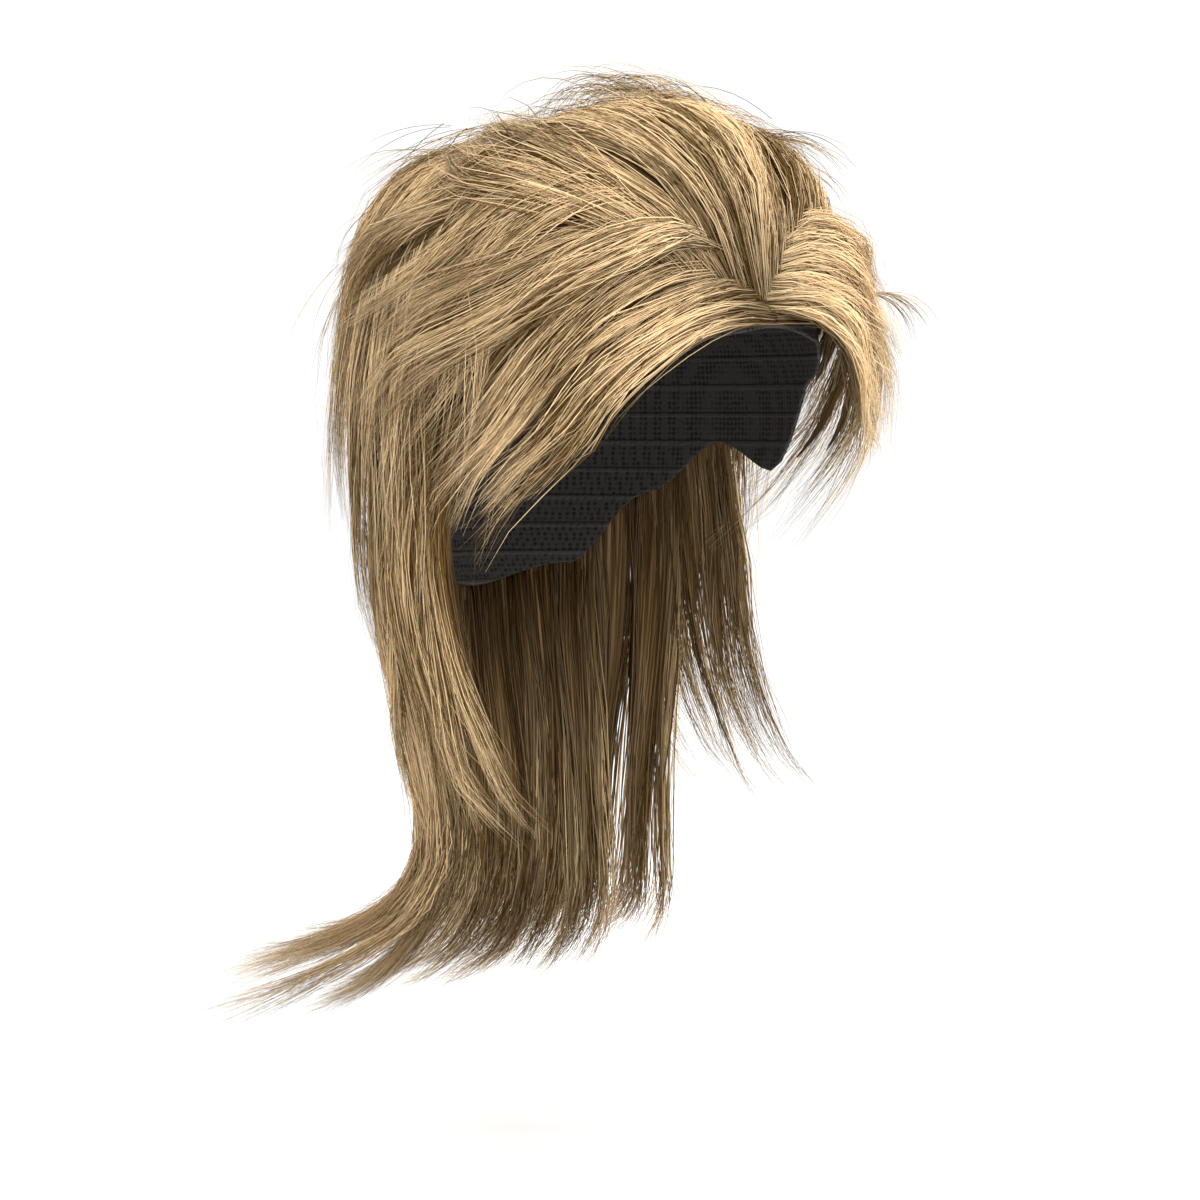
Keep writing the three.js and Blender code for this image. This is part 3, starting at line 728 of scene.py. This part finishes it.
class Shader:
    """A material and the nodes that make it up"""

    def __init__(self, name):
        self.material = bpy.data.materials.new(name)
        self.material.use_nodes = True
        self.tree = self.material.node_tree
        self.surface = self.tree.nodes["Principled BSDF"]

    def node(self, kind, settings=None, inputs=None, output=0):
        """Adds a node, sets it up, joins its inputs and returns one of its outputs"""
        made = self.tree.nodes.new(kind)
        for name, value in (settings or {}).items():
            setattr(made, name, value)
        for name, value in (inputs or {}).items():
            self.join(made.inputs[name], value)
        return Socket(self, made.outputs[output])

    def join(self, target, value):
        """Links a socket, or sets a constant"""
        if isinstance(value, Socket):
            self.tree.links.new(value.socket, target)
        elif value is not None:
            target.default_value = value

    def mix(self, factor, first, second):
        """Mixes two colours"""
        made = self.tree.nodes.new("ShaderNodeMix")
        made.data_type = "RGBA"
        for index, value in ((0, factor), (6, first), (7, second)):
            self.join(made.inputs[index], value if isinstance(value, (Socket, float)) else (*value, 1))
        return Socket(self, made.outputs[2])

    def set(self, **values):
        """Sets or links the surface's own sockets"""
        for name, value in values.items():
            self.join(self.surface.inputs[name.replace("_", " ")], value)


def smooth_step(shader, value, low, high):
    """Rises smoothly from 0 to 1 as the value goes from low to high"""
    return shader.node("ShaderNodeMapRange", {"interpolation_type": "SMOOTHSTEP"},
                       {"Value": value, "From Min": low, "From Max": high})


def hair_material(row, settings):
    """Hair that varies from strand to strand, darker at the root, with painted shade on the lowest strands of
    each clump and on the masses under them, and with each row's painted light and shade in its tone
    """
    shader = Shader("hair_" + row["node"])
    map_place = shader.node("ShaderNodeUVMap", {"uv_map": "OFBake"})
    column = shader.node("ShaderNodeSeparateXYZ", {}, {0: map_place}, 0)
    level = shader.node("ShaderNodeSeparateXYZ", {}, {0: map_place}, 1)
    in_body = level > (STRAND_MAP[1] + BODY_MAP[0]) / 2
    along = level * (1 / STRAND_MAP[1])

    own = shader.node("ShaderNodeNewGeometry", {}, {}, "Random Per Island")
    clump = column * float(CLUMPS * row["locks"])
    clump_number = shader.node("ShaderNodeMath", {"operation": "FLOOR"}, {0: clump})
    clump_tone = shader.node("ShaderNodeTexWhiteNoise", {"noise_dimensions": "1D"}, {"W": clump_number})
    depth = shader.node("ShaderNodeMath", {"operation": "FRACT"}, {0: clump})
    place = shader.node("ShaderNodeNewGeometry", {}, {}, "Position")
    drawn_out = shader.node("ShaderNodeVectorMath", {"operation": "MULTIPLY"}, {0: place, 1: PATCH_STRETCH})
    patch = shader.node("ShaderNodeTexNoise", {}, {"Vector": drawn_out, "Scale": PATCH_SCALE, "Detail": 1.0})
    streak_place = shader.node("ShaderNodeCombineXYZ", {}, {
        0: column * (STREAKS_ACROSS * row["locks"]), 1: level * STREAKS_ALONG})
    streak = shader.node("ShaderNodeTexNoise", {}, {"Vector": streak_place, "Scale": 1.0, "Detail": 3.0})

    # The row's term paints light and shade: rows that the light falls on are made lighter, rows in shade
    # darker
    tone = (own * OWN_TONE + clump_tone * CLUMP_TONE + patch * PATCH_TONE
            + (ROW_PAINTED_LIGHT * row["light"] + TONE_SHIFT))
    # The masses under the strands get a streaked tone shifted dark, as painted shade
    tone = tone * (1 - in_body) + (streak * BODY_TONE + BODY_SHADE_SHIFT) * in_body
    hair = shader.mix(smooth_step(shader, tone, *TONE_RANGE), tuple(settings.dark_colour),
                      tuple(settings.light_colour))
    # Painted shade: darkest on the lowest strands of each clump, and over the masses under the strands
    painted_shade = smooth_step(shader, depth, DEPTH_SHADE_SHARE, 0.0) * (1 - in_body) + in_body * BODY_PAINTED_SHADE
    # A row painted lighter has less darkening at its roots
    root_tone = max(ROOT_TONE - ROOT_PAINTED_LIGHT * row["light"], 0.0)
    rooted = (1 - smooth_step(shader, along, *ROOT_SPAN)) * root_tone * (1 - in_body)
    # The painted shade mixes the hair towards the root and shade colour
    shaded = shader.mix(painted_shade * DEPTH_SHADE_TONE, hair, tuple(settings.root_and_shade_colour))
    shaded = shader.mix(rooted, shaded, tuple(settings.root_and_shade_colour))
    relief = shader.node("ShaderNodeBump", {}, {
        "Height": streak, "Strength": HAIR_RELIEF, "Distance": RELIEF_DEPTH})
    shader.set(Base_Color=shaded, Roughness=HAIR_ROUGHNESS + own * ROUGHNESS_SCATTER, Normal=relief,
               Specular_IOR_Level=HAIR_SPECULAR)
    return shader.material


def cap_material(settings):
    """Black stretch net with sewn wefts round it"""
    shader = Shader("cap_net")
    place = shader.node("ShaderNodeNewGeometry", {}, {}, "Position")
    height = shader.node("ShaderNodeSeparateXYZ", {}, {0: place}, 2)
    holes = shader.node("ShaderNodeTexVoronoi", {"feature": "F1"}, {
        "Vector": place, "Scale": 1 / settings.net_pitch, "Randomness": NET_UNEVENNESS})
    around = height * (2 * math.pi / WEFT_PITCH)
    weft = shader.node("ShaderNodeMath", {"operation": "SINE"}, {0: around})
    seam = smooth_step(shader, weft, *SEAM_EDGE)
    thread = smooth_step(shader, holes, *THREAD_EDGE)
    base = tuple(settings.net_colour)
    lighter = tuple(NET_LIGHTENING * channel for channel in base)
    colour = shader.mix(thread * THREAD_TONE, base, lighter)
    colour = shader.mix(seam * SEAM_TONE, colour, lighter)
    relief = shader.node("ShaderNodeBump", {}, {
        "Height": thread * THREAD_RELIEF + seam, "Strength": NET_RELIEF, "Distance": RELIEF_DEPTH})
    shader.set(Base_Color=colour, Roughness=NET_ROUGHNESS - SEAM_SMOOTHING * seam, Normal=relief,
               Specular_IOR_Level=NET_SPECULAR)
    return shader.material


def rim_drop(turn):
    """How far the cap's rim lies under the crown at turns in degrees, as in the part's source"""
    temple = HAIRLINE_DROP + BROW_CURVE * (TEMPLE_DROP - HAIRLINE_DROP)
    nape = [EAR_NOTCH_DROP + share * (NAPE_DROP - EAR_NOTCH_DROP) for share in NAPE_CURVE]
    turns = np.array(RIM_TURNS, float)
    drops = np.array([HAIRLINE_DROP, temple, TEMPLE_DROP, EAR_TAB_DROP, EAR_NOTCH_DROP, *nape, NAPE_DROP])
    at = np.abs(turn)
    following = np.clip(np.searchsorted(turns, at), 1, len(turns) - 1)
    low, high = turns[following - 1], turns[following]
    return drops[following - 1] + (drops[following] - drops[following - 1]) * ease((at - low) / (high - low))


def rise_at(drop):
    """The rise, seen from the head's centre, of a point that lies so far under the crown"""
    up = (CROWN_TO_BROW - drop) / CROWN_TO_BROW
    above = np.arcsin(np.clip(up, 0, 1) ** (DOME_ROUNDNESS / 2))
    return np.degrees(np.where(up > 0, above, np.arcsin(np.clip(up, -0.98, 0))))


def cap_mesh(material):
    """The cap's wall with its hem rolled round the rim"""
    turn = np.arange(CAP_COLUMNS) * 360 / CAP_COLUMNS - 180
    rim = rise_at(rim_drop(turn))

    def ring(share, offset):
        return over_head(towards(turn, 90 + (rim - 90) * share), offset) * MM

    levels = np.linspace(0, 1, CAP_LEVELS + 1)[1:]
    roll = np.linspace(0, np.pi, HEM_STEPS + 1)[1:-1]
    below = unit(ring(1.01, CAP_WALL / 2) - ring(1.0, CAP_WALL / 2))
    hem = [ring(1.0, CAP_WALL / 2 * (1 + np.cos(angle))) + below * CAP_WALL / 2 * MM * np.sin(angle)
           for angle in roll]
    rings = [ring(level, CAP_WALL) for level in levels] + hem + [ring(level, 0.0) for level in levels[::-1]]
    poles = [over_head(towards(np.array(0.0), np.array(90.0)), offset) * MM for offset in (CAP_WALL, 0.0)]
    vertices = np.vstack([poles[0][None], *rings, poles[1][None]])
    count = len(rings)
    faces = []
    for i in range(CAP_COLUMNS):
        j = (i + 1) % CAP_COLUMNS
        faces.append((0, 1 + j, 1 + i))
        for r in range(count - 1):
            a = 1 + r * CAP_COLUMNS
            faces.append((a + i, a + j, a + CAP_COLUMNS + j, a + CAP_COLUMNS + i))
        a = 1 + (count - 1) * CAP_COLUMNS
        faces.append((a + i, a + j, len(vertices) - 1))
    mesh = bpy.data.meshes.new("net_cap")
    mesh.from_pydata(vertices.tolist(), [], faces)
    for polygon in mesh.polygons:
        polygon.use_smooth = True
    made = bpy.data.objects.new("net_cap", mesh)
    bpy.context.scene.collection.objects.link(made)
    made.data.materials.append(material)
    return made


class WIG_OT_cap(bpy.types.Operator):
    """Makes the net cap"""

    bl_idname = "wig.cap"
    bl_label = "Cap"

    def execute(self, context):
        cap = cap_mesh(cap_material(context.scene.wig_cap))
        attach(cap, "root")
        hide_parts("wig_cap")
        return {"FINISHED"}


class WIG_OT_hair(bpy.types.Operator):
    """Lays the strands and the masses under them along every row of hair"""

    bl_idname = "wig.hair"
    bl_label = "Hair"

    def execute(self, context):
        settings = context.scene.wig_hair
        for number, row in enumerate(all_rows()):
            random = np.random.default_rng(settings.seed + number)
            surface = RowSurface(row)
            parts = [strands(row, surface, settings, random), lock_bodies(row, surface)]
            for values in WISPS:
                wisp = dict(zip(WISP_COLUMNS, values))
                if wisp["node"] == row["node"]:
                    parts.append(wisp_strands(wisp, settings, random))
            hair = mesh_object(row["node"] + "_strands", parts, hair_material(row, settings))
            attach(hair, "root")
            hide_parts(row["node"])
        return {"FINISHED"}


def area_light(name, place, size, power):
    """A round soft light that faces the wig"""
    lamp = bpy.data.lights.new(name, "AREA")
    lamp.shape = "DISK"
    lamp.size = size
    lamp.energy = power
    made = bpy.data.objects.new(name, lamp)
    made.location = place
    made.rotation_euler = (Vector(LIT_POINT) - Vector(place)).to_track_quat("-Z", "Y").to_euler()
    bpy.context.scene.collection.objects.link(made)


class WIG_OT_stage(bpy.types.Operator):
    """Makes the floor, the soft lights and the camera"""

    bl_idname = "wig.stage"
    bl_label = "Stage"

    def execute(self, context):
        settings = context.scene.wig_stage
        scene = context.scene
        shader = Shader("pale_floor")
        shader.set(Base_Color=(*settings.floor_colour, 1), Roughness=0.7)
        mesh = bpy.data.meshes.new("floor")
        corners = [(x * FLOOR_REACH, y * FLOOR_REACH, settings.floor_height)
                   for x, y in ((-1, -1), (1, -1), (1, 1), (-1, 1))]
        mesh.from_pydata(corners, [], [(0, 1, 2, 3)])
        mesh.materials.append(shader.material)
        floor = bpy.data.objects.new("floor", mesh)
        scene.collection.objects.link(floor)

        world = bpy.data.worlds.new("studio")
        world.use_nodes = True
        sky = world.node_tree.nodes["Background"]
        sky.inputs["Color"].default_value = (1, 1, 1, 1)
        sky.inputs["Strength"].default_value = SKY_STRENGTH
        scene.world = world
        scene.view_settings.view_transform = "Standard"
        for values in LIGHTS:
            light = dict(zip(LIGHT_COLUMNS, values))
            area_light(light["name"], light["place"], light["size"], settings.key_power * light["share"])

        turn, rise = settings.camera_turn, settings.camera_rise
        away = Vector((-math.sin(turn) * math.cos(rise), -math.cos(turn) * math.cos(rise), math.sin(rise)))
        right = Vector((math.cos(turn), -math.sin(turn), 0))
        target = Vector(SEEN_POINT) + SEEN_SHIFT * right
        data = bpy.data.cameras.new("camera")
        data.sensor_fit = "HORIZONTAL"
        data.angle = 2 * math.atan(SEEN_WIDTH / 2 / settings.camera_distance)
        camera = bpy.data.objects.new("camera", data)
        camera.location = target + away * settings.camera_distance
        camera.rotation_euler = (-away).to_track_quat("-Z", "Y").to_euler()
        scene.collection.objects.link(camera)
        scene.camera = camera
        return {"FINISHED"}


class WIG_PT_panel(bpy.types.Panel):
    """Lists the wig's settings and makers"""

    bl_label = "Mullet Wig"
    bl_idname = "WIG_PT_panel"
    bl_space_type = "VIEW_3D"
    bl_region_type = "UI"
    bl_category = "Wig"

    def draw(self, context):
        for group, operator in (("wig_cap", "wig.cap"), ("wig_hair", "wig.hair"), ("wig_stage", "wig.stage")):
            box = self.layout.box()
            settings = getattr(context.scene, group)
            for name in settings.__annotations__:
                box.prop(settings, name)
            box.operator(operator)


CLASSES = (HairSettings, CapSettings, StageSettings, WIG_OT_cap, WIG_OT_hair, WIG_OT_stage, WIG_PT_panel)
GROUPS = (("wig_hair", HairSettings), ("wig_cap", CapSettings), ("wig_stage", StageSettings))


def register():
    for made in CLASSES:
        bpy.utils.register_class(made)
    for name, group in GROUPS:
        setattr(bpy.types.Scene, name, bpy.props.PointerProperty(type=group))


def unregister():
    for name, _ in GROUPS:
        delattr(bpy.types.Scene, name)
    for made in reversed(CLASSES):
        bpy.utils.unregister_class(made)


def main():
    register()
    bpy.ops.wig.stage()
    bpy.ops.wig.cap()
    bpy.ops.wig.hair()


if __name__ == "__main__":
    main()
